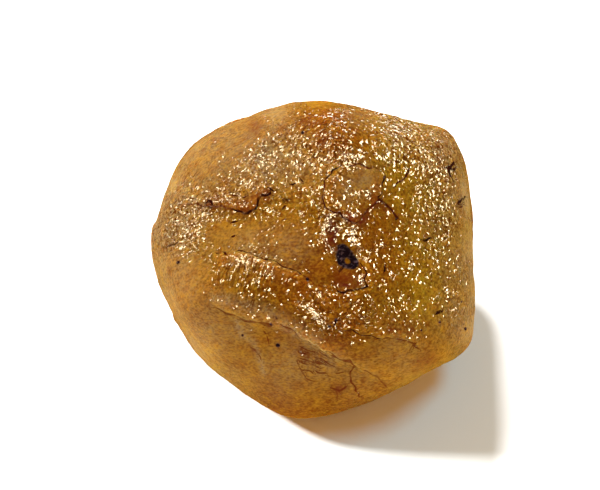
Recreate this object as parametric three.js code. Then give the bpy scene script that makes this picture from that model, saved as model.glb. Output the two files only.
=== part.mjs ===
// A rough diamond: one cube-shaped crystal, about 12 mm across, with swollen faces, rounded
// edges and an etched skin. It grew as one piece, so it is one solid.
// Millimetres, +Z up. The origin is on the resting face, at the middle of the bounding box.
//
// The form is a soft polyhedron. Every growth face is a plane at some distance from the heart of
// the crystal, and along any direction the skin lies where the planes meet, blended by a power
// mean. Swells, ledges, ridges and pits are then raised on that skin or sunk into it.
import * as THREE from "three";
import { ImprovedNoise } from "three/addons/math/ImprovedNoise.js";
import { mergeVertices } from "three/addons/utils/BufferGeometryUtils.js";

// Driving dimensions.
const HEART = new THREE.Vector3(-0.03, -0.25, 4.9); // the point that every face is measured from
const EDGE_SHARPNESS = 12; // the power of the blend: edges are tighter where it is higher
const MESH_DETAIL = 19; // 20 * (detail + 1)^2 triangles
const CROWDING = 0.3; // how strongly the triangles are drawn together towards the front
const HILLOCK_SPACING = 0.95; // between the coarse hillocks of the etched skin
const HILLOCK_HEIGHT = 0.07; // of the coarse hillocks, where they are strongest
const LEDGE_STEP = 0.14; // how wide the slope of a ledge is

// The growth faces: which way each outward normal points, as a compass bearing from +X towards
// +Y and a rise above the horizon in degrees, and its distance from the heart.
const FACES = [
  { name: "right cube face", bearing: 323, rise: 43, distance: 5.2 },
  { name: "upper left cube face", bearing: 196, rise: 58, distance: 5.1 },
  { name: "front cube face", bearing: 264, rise: 4, distance: 4.9 },
  { name: "front corner", bearing: 259, rise: 47, distance: 6 },
  { name: "right wall", bearing: 359, rise: 7, distance: 5.9 },
  { name: "back right shoulder", bearing: 66, rise: 49, distance: 5.95 },
  { name: "back left shoulder", bearing: 122, rise: 42, distance: 5.85 },
  { name: "left wall", bearing: 167, rise: 18, distance: 5.95 },
  { name: "left undercut", bearing: 203, rise: -11, distance: 5.45 },
  { name: "front left undercut", bearing: 233, rise: -28, distance: 5.38 },
  { name: "front undercut", bearing: 276, rise: -34, distance: 5.95 },
  { name: "front right undercut", bearing: 302, rise: -29, distance: 5.65 },
  { name: "back left underside", bearing: 143, rise: -43, distance: 5.3 },
  { name: "right underside", bearing: 16, rise: -56, distance: 5.15 },
  { name: "back cube face", bearing: 84, rise: -4, distance: 5.3 },
  { name: "resting side", bearing: 0, rise: -90, distance: 5.3 },
];

// Swells and slight hollows along the outline: where each is centred, how wide it is in
// degrees, and how far it lifts the skin.
const SWELLS = [
  { name: "upper right corner", bearing: 36, rise: 27, width: 6, lift: 0.17 },
  { name: "below the upper right corner", bearing: 24, rise: 20, width: 12, lift: -0.16 },
  { name: "above the upper right corner", bearing: 49, rise: 32, width: 6, lift: -0.07 },
  { name: "notch in the left wall", bearing: 158, rise: 17, width: 9, lift: -0.07 },
  { name: "lower right corner", bearing: 338, rise: -18, width: 6, lift: 0.1 },
  { name: "below the lower right corner", bearing: 325, rise: -26, width: 6, lift: -0.08 },
  { name: "front foot", bearing: 256, rise: -38, width: 12, lift: 0.22 },
];

// The sides that ledges, ridges and pits are drawn on. Each is a sheet that faces an eye far
// out along a bearing and a rise, and a place on it is [right, up] from the heart.
const EYE_DISTANCE = 123;
const FRONT = { bearing: 270, rise: 50 };
const BACK = { bearing: 90, rise: 20 };
const LEFT = { bearing: 180, rise: 5 };
const RIGHT = { bearing: 0, rise: -5 };
const UNDER = { bearing: 40, rise: -50 };
const SAME_DISTANCE = 1e-9; // two stretches of a line are equally near at the bend between them

// Ledges, where one growth layer ends on the next. The skin on the left of the line, walking
// from its first point to its last, stands higher by `step`, and the rise dies out over `fade`.
const LEDGES = [
  {
    name: "margin of the upper left layer",
    side: FRONT,
    step: 0.26,
    fade: 1.4,
    line: [
      [-4.6, 2.15], [-3.2, 2.03], [-2.4, 1.83], [-2, 2.15], [-1.55, 2.5], [-1.75, 3.1],
      [-2.05, 3.9], [-1.8, 4.9],
    ],
  },
  {
    name: "upper lip of the swollen band",
    side: FRONT,
    step: 0.32,
    fade: 1.1,
    line: [
      [2.1, -0.95], [0.9, -1], [0, -0.8], [-0.45, -0.42], [-1.1, -0.08], [-1.9, 0.2],
      [-2.55, 0.45], [-3.5, 0.33], [-4.1, -0.6],
    ],
  },
  {
    name: "right rim of the hollow",
    side: FRONT,
    step: 0.22,
    fade: 0.9,
    line: [[1.1, 1.8], [1.6, 1.2], [1.75, 0.1], [1.95, -0.45], [2.05, -1.1]],
  },
  {
    name: "island",
    side: FRONT,
    step: 0.2,
    fade: 0.7,
    line: [
      [1.9, 3.55], [1, 3.6], [0.42, 2.95], [0.45, 2.05], [1.1, 1.8], [1.5, 1.47], [1.95, 1.85],
      [2.4, 2.3], [2.7, 3], [2.55, 3.4], [1.9, 3.55],
    ],
  },
  {
    name: "lower crack",
    side: FRONT,
    step: 0.26,
    fade: 1,
    line: [
      [-3.7, -1.6], [-2.5, -2.12], [-1.5, -2.33], [-0.6, -2.6], [0, -3], [0.98, -3.57],
      [1.55, -3.78], [2.3, -4.2], [3.2, -4.9],
    ],
  },
  {
    name: "lower margin of the right face",
    side: FRONT,
    step: 0.14,
    fade: 0.8,
    line: [[0.7, -2.45], [1.7, -2.58], [2.8, -2.8], [3.75, -3], [4.4, -3.4]],
  },
  {
    name: "long ledge of the back",
    side: BACK,
    step: 0.24,
    fade: 1.5,
    line: [[3.6, 0.7], [1.9, 0.3], [0.5, 1.1], [-1, 0.8], [-2.2, 1.7], [-3.9, 1.3]],
  },
  {
    name: "tongue of the back",
    side: BACK,
    step: 0.2,
    fade: 1.1,
    line: [[0.4, -3.6], [0.1, -2.5], [-0.9, -1.5], [-2.1, -1.7], [-3.2, -2.6]],
  },
  {
    name: "ledge of the left wall",
    side: LEFT,
    step: 0.18,
    fade: 1.2,
    line: [[3.3, -0.7], [1.7, -0.1], [0.3, -0.9], [-1.4, -0.4], [-2.9, -1.2]],
  },
  {
    name: "ledge of the right wall",
    side: RIGHT,
    step: 0.18,
    fade: 1.2,
    line: [[3.1, 1.9], [1.3, 1.1], [-0.2, 1.5], [-1.6, 0.6], [-3.2, 0.9]],
  },
  {
    name: "ledge of the underside",
    side: UNDER,
    step: 0.2,
    fade: 1.1,
    line: [[2.8, 1.6], [1.2, 1.9], [0.1, 0.9], [-1.5, 1.2], [-2.7, 0.1]],
  },
];

// Crests and grooves along a line: how far the skin is lifted there, and over what width.
const RIDGES = [
  {
    name: "crest between the two upper cube faces",
    side: FRONT,
    lift: 0.1,
    width: 0.55,
    line: [[0.5, 5.6], [1, 4.6], [0.4, 3.3], [0.1, 2.1]],
  },
  {
    name: "left crest above the pit",
    side: FRONT,
    lift: 0.12,
    width: 0.3,
    line: [[0.85, 2.1], [0.35, 1.4], [0.45, 0.4]],
  },
  {
    name: "right crest above the pit",
    side: FRONT,
    lift: 0.14,
    width: 0.3,
    line: [[1, 1.9], [1.35, 1.2], [1.7, 0.4]],
  },
  {
    name: "groove above the pit",
    side: FRONT,
    lift: -0.1,
    width: 0.25,
    line: [[0.9, 1.7], [0.7, 0.9], [1, 0.5]],
  },
  {
    name: "pale ridge under the band",
    side: FRONT,
    lift: 0.1,
    width: 0.25,
    line: [[-3.9, -1.35], [-2.9, -1.6], [-1.8, -1.98], [-0.9, -2.35], [0.3, -2.8], [1.6, -3.3]],
  },
  {
    name: "trough of the band",
    side: FRONT,
    lift: -0.12,
    width: 0.4,
    line: [[-3.6, -1.1], [-2.4, -1.45], [-1.2, -1.85], [0, -2.3], [1, -2.35]],
  },
  {
    name: "crest of the bright patch",
    side: FRONT,
    lift: 0.1,
    width: 0.4,
    line: [[-0.9, -1.1], [0.1, -1.7], [0.7, -2.2]],
  },
];

// Pits and shallow bowls: the radius over which each fades out, and its depth.
const PITS = [
  { name: "dark pit", side: FRONT, at: [1.25, 0.15], radius: 0.5, depth: 0.2 },
  { name: "bowl of the hollow", side: FRONT, at: [-0.6, 0.45], radius: 1.5, depth: 0.12 },
  { name: "bowl beside the layer", side: FRONT, at: [-1.2, 2.1], radius: 0.9, depth: 0.08 },
  { name: "bowl of the left shoulder", side: FRONT, at: [-4.1, 0.2], radius: 0.9, depth: 0.1 },
  { name: "bowl of the back", side: BACK, at: [1.9, -1.5], radius: 1.4, depth: 0.22 },
  { name: "pit of the back", side: BACK, at: [-1.4, 3], radius: 0.6, depth: 0.16 },
  { name: "pit of the left wall", side: LEFT, at: [-0.8, 1.9], radius: 0.6, depth: 0.16 },
  { name: "bowl of the right wall", side: RIGHT, at: [0.8, -1.3], radius: 1.2, depth: 0.16 },
  { name: "bowl of the underside", side: UNDER, at: [0.6, -0.9], radius: 1.1, depth: 0.16 },
];

// Where the skin is smooth, without hillocks: the hollow, the island and the lower front.
const SMOOTH_PATCHES = [
  { side: FRONT, at: [-0.6, 0.3], radius: 1.6 },
  { side: FRONT, at: [1.5, 2.8], radius: 0.9 },
  { side: FRONT, at: [-1.2, -4.2], radius: 2.6 },
  { side: FRONT, at: [-4.4, -1.4], radius: 1.6 },
  { side: FRONT, at: [2.4, -4.2], radius: 1.8 },
];

/** The unit vector that points along a compass bearing and a rise, both in degrees. */
function pointing({ bearing, rise }) {
  const b = THREE.MathUtils.degToRad(bearing);
  const r = THREE.MathUtils.degToRad(rise);
  return new THREE.Vector3(Math.cos(r) * Math.cos(b), Math.cos(r) * Math.sin(b), Math.sin(r));
}

/** Adds to a side the directions of its sheet: towards the eye, right and up. */
function openSheet(side) {
  side.near = pointing(side);
  side.right = new THREE.Vector3(0, 0, 1).cross(side.near).normalize();
  side.up = side.near.clone().cross(side.right);
}

/**
 * Where a point, given from the heart, lies on a side's sheet, and how much of what is drawn
 * there reaches it: all of it where the point is well in front, none towards the rim. What is
 * drawn on the other sides also dies out before it reaches the front.
 */
function onSheet(point, side) {
  const near = point.dot(side.near);
  const scale = EYE_DISTANCE / (EYE_DISTANCE - near);
  let strength = THREE.MathUtils.smoothstep(near, 0.2, 2.2);
  if (side !== FRONT) {
    strength *= 1 - THREE.MathUtils.smoothstep(point.dot(FRONT.near), -2, -0.3);
  }
  return {
    place: [point.dot(side.right) * scale, point.dot(side.up) * scale],
    strength,
  };
}

/**
 * The nearest place on a line: its distance, negative on the right of the line, and how much of
 * the line's effect is left there, which is none at its ends. Where the nearest place is a bend,
 * the stretch that the point lies further across from tells the side.
 */
function alongLine([x, y], line) {
  let nearest = { distance: Infinity, across: 0, part: 0 };
  const last = line.length - 1;
  for (let i = 0; i < last; i++) {
    const [ax, ay] = line[i];
    const dx = line[i + 1][0] - ax;
    const dy = line[i + 1][1] - ay;
    const length = Math.hypot(dx, dy);
    const along = ((x - ax) * dx + (y - ay) * dy) / length ** 2;
    const t = THREE.MathUtils.clamp(along, 0, 1);
    const across = (dx * (y - ay) - dy * (x - ax)) / length;
    const distance = Math.hypot(x - ax - t * dx, y - ay - t * dy);
    const closer = nearest.distance - distance;
    const further = Math.abs(across) > Math.abs(nearest.across);
    if (closer > SAME_DISTANCE || (closer > -SAME_DISTANCE && further)) {
      nearest = { distance, across, part: (i + t) / last };
    }
  }
  const toEnd = Math.min(nearest.part, 1 - nearest.part);
  return {
    distance: nearest.distance * Math.sign(nearest.across),
    strength: THREE.MathUtils.smoothstep(toEnd, 0, 0.12),
  };
}

/** A bell curve that is 1 in the middle and almost 0 two widths away. */
function bell(distance, width) {
  return Math.exp(-((distance / width) ** 2));
}

const PLANES = FACES.map((face) => ({ normal: pointing(face), distance: face.distance }));
const CENTRES = SWELLS.map((swell) => ({ ...swell, centre: pointing(swell) }));
const hills = new ImprovedNoise();
[FRONT, BACK, LEFT, RIGHT, UNDER].forEach(openSheet);

/** How far the swollen cube reaches from the heart along a unit vector. */
function reach(direction) {
  let sum = 0;
  for (const { normal, distance } of PLANES) {
    sum += Math.max(0, normal.dot(direction) / distance) ** EDGE_SHARPNESS;
  }
  let length = sum ** (-1 / EDGE_SHARPNESS);
  for (const { centre, width, lift } of CENTRES) {
    const apart = THREE.MathUtils.radToDeg(direction.angleTo(centre));
    length += lift * bell(apart, width);
  }
  return length;
}

/** How far the ledges, ridges, pits and hillocks lift a point of the skin. */
function relief(point) {
  let lift = 0;
  for (const { side, step, fade, line } of LEDGES) {
    const sheet = onSheet(point, side);
    if (sheet.strength === 0) continue;
    const near = alongLine(sheet.place, line);
    const rise = Math.tanh(near.distance / LEDGE_STEP) * Math.exp(-Math.abs(near.distance) / fade);
    lift += 0.5 * step * rise * near.strength * sheet.strength;
  }
  for (const ridge of RIDGES) {
    const sheet = onSheet(point, ridge.side);
    const near = alongLine(sheet.place, ridge.line);
    lift += ridge.lift * bell(near.distance, ridge.width) * near.strength * sheet.strength;
  }
  for (const { side, at, radius, depth } of PITS) {
    const sheet = onSheet(point, side);
    const away = Math.hypot(sheet.place[0] - at[0], sheet.place[1] - at[1]);
    lift -= depth * bell(away, radius) * sheet.strength;
  }
  let hillocks = HILLOCK_HEIGHT;
  for (const { side, at, radius } of SMOOTH_PATCHES) {
    const sheet = onSheet(point, side);
    const away = Math.hypot(sheet.place[0] - at[0], sheet.place[1] - at[1]);
    hillocks *= 1 - 0.9 * bell(away, radius) * sheet.strength;
  }
  const at = point.clone().divideScalar(HILLOCK_SPACING);
  return lift + hillocks * hills.noise(at.x, at.y, at.z);
}

/** Turns a direction towards the front, so that the triangles there are smaller. */
function crowd(direction) {
  const turn = CROWDING * Math.sin(direction.angleTo(FRONT.near));
  const axis = direction.clone().cross(FRONT.near).normalize();
  direction.applyAxisAngle(axis, turn);
}

/** The crystal's mesh: a ball of triangles whose points are pushed out to the skin. */
function crystalGeometry() {
  const ball = new THREE.IcosahedronGeometry(1, MESH_DETAIL);
  ball.deleteAttribute("normal");
  ball.deleteAttribute("uv");
  const geometry = mergeVertices(ball);
  const points = geometry.getAttribute("position");
  const direction = new THREE.Vector3();
  for (let i = 0; i < points.count; i++) {
    direction.fromBufferAttribute(points, i).normalize();
    crowd(direction);
    const point = direction.clone().multiplyScalar(reach(direction));
    point.addScaledVector(direction, relief(point)).add(HEART);
    point.z = Math.max(0, point.z); // the resting face is flat
    points.setXYZ(i, point.x, point.y, point.z);
  }
  return geometry;
}

const group = new THREE.Group();
const material = new THREE.MeshStandardMaterial({ color: 0xb0803a, roughness: 0.35, metalness: 0 });
const diamond = new THREE.Mesh(crystalGeometry(), material);
diamond.name = "diamond";
group.add(diamond);

export default group;
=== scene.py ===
# %% [markdown]
# # A rough diamond
# The real object is a single crystal, about 12 mm across, just as it came out of the ground. It is
# a swollen cube of cloudy amber-brown diamond. Its skin was etched long ago, so it glitters in
# hundreds of small dashes, and it shows the margins of its growth layers, a few cracks with brown
# stain in them, and one dark mark that comes out in a shallow pit.
#
# The solid form is already made, as a faceted body. Here that body gets its skin. Everything is in
# metres and in the body's own frame, so nothing has to be fitted.

# %% Load the solid stone
import math

import bmesh
import bpy
import numpy as np
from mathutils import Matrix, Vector


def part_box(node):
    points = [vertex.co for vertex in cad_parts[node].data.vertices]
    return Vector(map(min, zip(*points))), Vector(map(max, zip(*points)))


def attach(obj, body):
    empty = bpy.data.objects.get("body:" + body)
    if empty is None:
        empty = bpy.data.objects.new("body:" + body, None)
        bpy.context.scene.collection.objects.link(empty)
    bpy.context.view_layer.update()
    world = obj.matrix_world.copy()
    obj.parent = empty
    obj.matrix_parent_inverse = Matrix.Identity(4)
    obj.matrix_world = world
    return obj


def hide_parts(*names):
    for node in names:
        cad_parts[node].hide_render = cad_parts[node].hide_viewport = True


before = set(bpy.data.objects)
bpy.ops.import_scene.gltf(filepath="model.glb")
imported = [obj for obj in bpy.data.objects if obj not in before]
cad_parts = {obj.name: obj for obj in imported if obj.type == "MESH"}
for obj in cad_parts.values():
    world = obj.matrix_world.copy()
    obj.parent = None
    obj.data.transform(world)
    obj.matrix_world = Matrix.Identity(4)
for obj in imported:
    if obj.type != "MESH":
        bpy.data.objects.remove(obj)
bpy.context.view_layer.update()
MM = 0.001
low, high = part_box("diamond")
print("the solid is", [round(side / MM, 2) for side in high - low], "mm")

# %% [markdown]
# ## The camera
# The stone is looked at from in front and from half way up, as a jeweller does with the stone
# lying on white paper. A long lens from 12 cm away gives it almost no perspective. Every mark on
# the front of the stone is later drawn on a sheet that faces this same eye, so the heart of the
# crystal and the eye's place are set first.

# %% The heart of the crystal and the eye
HEART = Vector((-0.03, -0.25, 4.9)) * MM
# the eye's direction in degrees, its distance in mm, and how far it looks past the heart, in mm
EYE_BEARING = 270
EYE_RISE = 50
EYE_DISTANCE = 123
AIM = (-0.44, 0.63)
# the camera's own sizes: the lens and the frame in mm, the nearest and furthest sight in metres
LENS = 200
FRAME_WIDTH = 36
SIGHT = (0.01, 10)


def toward(bearing, rise):
    """The unit vector that points along a compass bearing and a rise, both in degrees."""
    b, r = math.radians(bearing), math.radians(rise)
    return Vector((math.cos(r) * math.cos(b), math.cos(r) * math.sin(b), math.sin(r)))


def place_camera():
    """A long lens in front of the stone, looking down on it."""
    data = bpy.data.cameras.new("camera")
    data.lens = LENS
    data.sensor_width = FRAME_WIDTH
    data.clip_start, data.clip_end = SIGHT
    camera = bpy.data.objects.new("camera", data)
    bpy.context.scene.collection.objects.link(camera)
    near = toward(EYE_BEARING, EYE_RISE)
    right = Vector((1, 0, 0))
    up = near.cross(right)
    camera.location = HEART + (AIM[0] * right + AIM[1] * up + EYE_DISTANCE * near) * MM
    camera.rotation_euler = (math.radians(90 - EYE_RISE), 0, 0)
    bpy.context.scene.camera = camera
    return camera


camera = place_camera()
print("the camera is", round((camera.location - HEART).length / MM, 1), "mm from the heart")

# %% [markdown]
# ## A finer copy of the solid
# The solid has flat facets about a third of a millimetre wide. Its loose triangles are merged
# into one skin, and a Subdivision Surface modifier rounds that skin and divides it finely enough
# to carry the small relief. The modifier is then turned into plain mesh, because what follows
# moves single points.

# %% Merge, subdivide and apply
WELD = 0.002 * MM
LEVELS = 2


def apply_modifiers(obj):
    """Turns what an object's modifiers make into its own plain mesh, and drops the modifiers."""
    depsgraph = bpy.context.evaluated_depsgraph_get()
    mesh = bpy.data.meshes.new_from_object(obj.evaluated_get(depsgraph))
    obj.modifiers.clear()
    obj.data = mesh


def refined_copy(node, name):
    """A smooth, finely divided copy of a solid, as an object of its own."""
    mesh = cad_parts[node].data.copy()
    mesh.materials.clear()
    skin = bmesh.new()
    skin.from_mesh(mesh)
    bmesh.ops.remove_doubles(skin, verts=skin.verts, dist=WELD)
    skin.to_mesh(mesh)
    skin.free()
    obj = bpy.data.objects.new(name, mesh)
    bpy.context.scene.collection.objects.link(obj)
    finer = obj.modifiers.new("finer", "SUBSURF")
    finer.levels = finer.render_levels = LEVELS
    apply_modifiers(obj)
    obj.data.shade_smooth()
    return obj


crystal = refined_copy("diamond", "crystal")
print("the skin has", len(crystal.data.vertices), "points and", len(crystal.data.polygons), "faces")

# %% [markdown]
# ## Sheets to draw on
# Cracks and layer margins are easiest to draw flat. A sheet faces an eye that looks at the stone
# from one side, and a place on it is [right, up] in millimetres from the heart. Each point of the
# skin is looked up on the sheet, and what is drawn there dies out towards the rim of that side,
# where the skin turns away from the eye. What no sheet needs to say exactly is left to gentle
# waves that run through the stone in many directions, with a fixed seed for each use.

# %% Sheets and soft shapes
# each sheet's bearing and rise, in degrees
FRONT = (EYE_BEARING, EYE_RISE)
BACK = (90, 20)
LEFT = (180, 5)
RIGHT = (0, -5)
UNDER = (40, -50)
# how near the eye a point has to be for a drawing to begin there, and to be whole, in mm
FRONT_REACH = (-1.5, -0.3)
SIDE_REACH = (0.2, 1.6)
# the same for the border between the front and the hidden sides
BORDER = (-2, -0.3)
WAVES = 14
WAVE_SUM = 3.7


def read_points(obj):
    """The points of a mesh, in millimetres from the heart."""
    flat = np.empty(len(obj.data.vertices) * 3)
    obj.data.vertices.foreach_get("co", flat)
    return (flat.reshape(-1, 3) - np.array(HEART)) / MM


def bell(distance, width):
    """A bell curve: 1 in the middle, almost 0 two widths away."""
    return np.exp(-((distance / width) ** 2))


def ease(value, start, end):
    """0 before start, 1 after end, and smooth between them."""
    t = np.clip((value - start) / (end - start), 0, 1)
    return t * t * (3 - 2 * t)


def sheet_axes(side):
    """The directions in space that point right, up and towards the eye on a side's sheet."""
    near_axis = toward(*side)
    right_axis = Vector((0, 0, 1)).cross(near_axis).normalized()
    return right_axis, near_axis.cross(right_axis), near_axis


def on_sheet(points, side):
    """Where each point lies on a side's sheet, and how much of what is drawn there reaches it.
    The front sheet reaches round the rim, and the others stop short of it."""
    right, up, near = (points @ np.array(axis) for axis in sheet_axes(side))
    scale = EYE_DISTANCE / (EYE_DISTANCE - near)
    reach = FRONT_REACH if side == FRONT else SIDE_REACH
    return np.stack([right, up], axis=1) * scale[:, None], ease(near, *reach)


def ripple(points, length, seed):
    """A gentle random field of about -1 to 1, made of waves of one length in many directions."""
    rng = np.random.default_rng(seed)
    total = np.zeros(len(points))
    for _ in range(WAVES):
        direction = rng.normal(size=3)
        direction *= 2 * math.pi / length / np.linalg.norm(direction)
        total += np.sin(points @ direction + rng.uniform(0, 2 * math.pi))
    return total / WAVE_SUM


skin = read_points(crystal)
behind = 1 - ease(skin @ np.array(toward(*FRONT)), *BORDER)
print("the skin reaches", np.abs(skin).max(0).round(2), "mm from the heart")
print("hidden from the front:", round(100 * float(behind.mean())), "% of its points")

# %% [markdown]
# ## Cracks and layer margins
# On the real stone the growth layers end in low steps, and a dark hairline is drawn along the foot
# of each, in the groove there. A crack without a step looks the same. Each is a short line of
# points on a sheet. Small dark scratches and the fine brown strokes low on the front are lines too,
# but straight ones, so they are listed more briefly.

# %% The lines
# side, ink (how dark), width in mm, lip (how far the left of the line stands up, in mm), points
LINES = [
    (FRONT, 0.7, 0.03, 0.05, [(-4.5, 2.16), (-4, 2.1), (-3.4, 2.06), (-2.9, 1.97)]),
    (FRONT, 1, 0.06, 0.03, [(-2.9, 1.97), (-2.61, 1.93), (-2.52, 1.81), (-2.4, 1.81), (-2.24, 1.9),
                            (-2.09, 1.97), (-2.03, 2.15), (-2, 2.33), (-1.94, 2.43), (-1.69, 2.46),
                            (-1.6, 2.58)]),
    (FRONT, 0.45, 0.03, 0.05, [(-1.63, 2.89), (-1.72, 3.04), (-1.79, 3.32), (-2.02, 3.9)]),
    (FRONT, 1, 0.06, 0, [(-3.93, 2.22), (-3.8, 2.3), (-3.68, 2.26), (-3.62, 2.1)]),
    (FRONT, 1, 0.08, 0, [(-3.85, 2.08), (-3.75, 2.05), (-3.68, 2.02)]),
    (FRONT, 0.9, 0.04, 0.08, [(-0.45, -0.42), (-0.9, -0.17), (-1.35, 0), (-1.95, 0.22),
                              (-2.55, 0.45), (-3, 0.32), (-3.5, 0.33)]),
    (FRONT, 0.5, 0.03, 0.06, [(0, -0.8), (-0.2, -0.58), (-0.45, -0.42)]),
    (FRONT, 1, 0.045, 0.06, [(2.04, -0.85), (1.84, -0.96), (1.58, -0.99), (1.41, -1.02),
                             (1.13, -1.08), (0.9, -0.98)]),
    (FRONT, 0.85, 0.04, 0.05, [(0.76, 1.84), (0.99, 1.87), (1.13, 1.73), (1.33, 1.6), (1.6, 1.42)]),
    (FRONT, 0.9, 0.04, 0.05, [(1.76, -0.02), (1.87, -0.25), (1.98, -0.42), (1.97, -0.59),
                              (2.04, -0.85)]),
    (FRONT, 1, 0.045, 0.05, [(1.02, 3.6), (0.75, 3.35), (0.5, 3.1)]),
    (FRONT, 0.8, 0.04, 0.04, [(0.5, 3.1), (0.38, 2.75), (0.41, 2.2), (0.47, 2.04), (0.76, 1.84)]),
    (FRONT, 0.8, 0.04, 0.04, [(1.52, 1.48), (1.75, 1.55), (1.95, 1.85), (2.05, 2), (2.3, 2.1),
                              (2.45, 2.4)]),
    (FRONT, 0.95, 0.045, 0.04, [(2.45, 2.4), (2.6, 2.7), (2.7, 3), (2.66, 3.22)]),
    (FRONT, 0.75, 0.045, 0.03, [(2.6, 3.36), (2.3, 3.5), (2.05, 3.53), (1.6, 3.64), (1.4, 3.6)]),
    (FRONT, 0.8, 0.07, 0, [(2.42, 2.38), (2.62, 2.22), (2.9, 1.95), (3.15, 1.65)]),
    (FRONT, 0.8, 0.04, 0, [(3.05, 2.8), (3.2, 3), (3.42, 3.15), (3.55, 3.35), (3.6, 3.5)]),
    (FRONT, 0.6, 0.045, 0.03, [(-3.6, -1.65), (-3, -1.93), (-2.5, -2.12), (-1.5, -2.33)]),
    (FRONT, 0.7, 0.035, 0.06, [(-1.2, -2.25), (-0.6, -2.6), (-0.4, -2.8), (-0.2, -2.84), (0, -3),
                               (0.35, -3.16)]),
    (FRONT, 0.62, 0.038, 0.03, [(0.45, -3.22), (0.8, -3.45), (0.98, -3.57), (1.4, -3.62),
                                (1.7, -3.9)]),
    (FRONT, 0.5, 0.04, 0, [(1.7, -3.9), (2.1, -4.05), (2.3, -4.2), (2.55, -4.4), (2.75, -4.6)]),
    (FRONT, 0.65, 0.045, 0, [(1.55, -3.78), (1.45, -4), (1.42, -4.3), (1.6, -4.7), (1.83, -5)]),
    (FRONT, 0.9, 0.04, 0.04, [(0.95, -2.5), (1.4, -2.52), (1.75, -2.6), (2.2, -2.7),
                              (2.45, -2.78)]),
    (FRONT, 0.6, 0.035, 0.04, [(2.5, -2.79), (3.05, -2.78), (3.45, -2.88), (3.75, -3),
                               (3.95, -3.2)]),
    (FRONT, 0.6, 0.03, 0, [(3.78, -3), (3.68, -3.1), (3.62, -3.22)]),
    (FRONT, 1, 0.05, 0, [(2.72, -0.08), (2.66, -0.3)]),
    (FRONT, 1, 0.07, 0, [(5, 3.5), (5.22, 3.66), (5.36, 3.52), (5.2, 3.42), (5.02, 3.5)]),
    (FRONT, 1, 0.05, 0, [(5, 3.52), (5.05, 3.25), (5.2, 3.04)]),
    (FRONT, 1, 0.07, 0, [(5.36, 2.2), (5.5, 2.26), (5.62, 2.36)]),
    (FRONT, 0.8, 0.06, 0, [(5.46, 2.02), (5.52, 2.06)]),
    (FRONT, 0.6, 0.05, 0, [(5.76, 1.66), (5.84, 1.56)]),
    (FRONT, 1, 0.06, 0, [(4.13, 0.8), (4.32, 0.86)]),
    (FRONT, 1, 0.05, 0, [(-5.35, 0.6), (-5.2, 0.62), (-5.05, 0.7)]),
    (FRONT, 0.6, 0.06, 0, [(0.68, -4.6), (0.9, -4.68), (1.05, -4.74), (1.25, -4.58)]),
    (FRONT, 0.35, 0.05, 0, [(0.92, -4.75), (0.94, -5)]),
    (BACK, 0.8, 0.04, 0.08, [(3.6, 0.7), (1.9, 0.3), (0.5, 1.1), (-1, 0.8), (-2.2, 1.7),
                             (-3.9, 1.3)]),
    (BACK, 0.7, 0.04, 0.06, [(0.4, -3.6), (0.1, -2.5), (-0.9, -1.5), (-2.1, -1.7), (-3.2, -2.6)]),
    (BACK, 0.8, 0.045, 0, [(0.5, 1.1), (0.9, 1.9), (0.7, 2.6), (1.2, 3.3)]),
    (LEFT, 0.8, 0.04, 0.06, [(3.3, -0.7), (1.7, -0.1), (0.3, -0.9), (-1.4, -0.4), (-2.9, -1.2)]),
    (LEFT, 0.7, 0.04, 0, [(0.3, -0.9), (0.1, -1.8), (0.6, -2.6)]),
    (RIGHT, 0.8, 0.04, 0.06, [(3.1, 1.9), (1.3, 1.1), (-0.2, 1.5), (-1.6, 0.6), (-3.2, 0.9)]),
    (RIGHT, 0.7, 0.04, 0, [(-0.2, 1.5), (-0.4, 2.3), (-1.1, 2.9)]),
    (UNDER, 0.8, 0.04, 0.06, [(2.8, 1.6), (1.2, 1.9), (0.1, 0.9), (-1.5, 1.2), (-2.7, 0.1)]),
]
# short dark scratches on the front: middle, length, slant in degrees, width, ink
DASHES = [
    ((-0.74, 2.93), 0.12, 20, 0.06, 1), ((-0.39, 3.01), 0.12, -60, 0.06, 1),
    ((-0.93, 2.38), 0.14, -15, 0.05, 1), ((-0.99, 2.27), 0.1, 0, 0.05, 0.8),
    ((-1.05, 2), 0.11, 35, 0.05, 0.9), ((-1.03, 1.57), 0.1, 0, 0.05, 0.7),
    ((-2.87, 1.49), 0.12, 15, 0.06, 0.9), ((-2.89, 1), 0.1, 20, 0.06, 0.9),
    ((-2.86, 2.47), 0.1, -15, 0.05, 0.8), ((-2.49, 2.44), 0.08, 30, 0.05, 0.8),
    ((-1.55, 2.72), 0.15, -30, 0.06, 1), ((4.65, -1.82), 0.15, 25, 0.08, 1),
    ((1.05, -0.27), 0.2, 50, 0.06, 0.9), ((0.83, -2.22), 0.22, 65, 0.05, 1),
]
# fine brown strokes where thin layers end, low on the front: first and last point
STROKES = [
    [(-0.5, -3.3), (-0.25, -3.38)], [(-0.45, -3.5), (0.3, -3.75)], [(-0.1, -3.72), (0.3, -3.9)],
    [(0.05, -3.45), (0.8, -3.8)], [(-0.45, -3.85), (-0.3, -4.2)], [(0.95, -4.05), (1.15, -4.08)],
    [(-0.42, -3.15), (0.1, -3.32)], [(-0.4, -3.62), (-0.05, -3.78)], [(0.1, -3.6), (0.5, -3.78)],
    [(-0.3, -3.95), (0.05, -4.1)], [(0.15, -4.02), (0.5, -4.12)], [(-0.55, -3.6), (-0.42, -3.95)],
    [(0.55, -4.2), (0.75, -4.22)], [(-0.2, -4.3), (0.1, -4.35)], [(0.3, -3.3), (0.75, -3.55)],
    [(-1.75, -2.6), (-1.62, -2.95)], [(-2.3, -3.1), (-2.1, -3.25)], [(-2.15, -3.2), (-1.95, -3.55)],
]
STROKE_INK = 0.62
STROKE_WIDTH = 0.034


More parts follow.
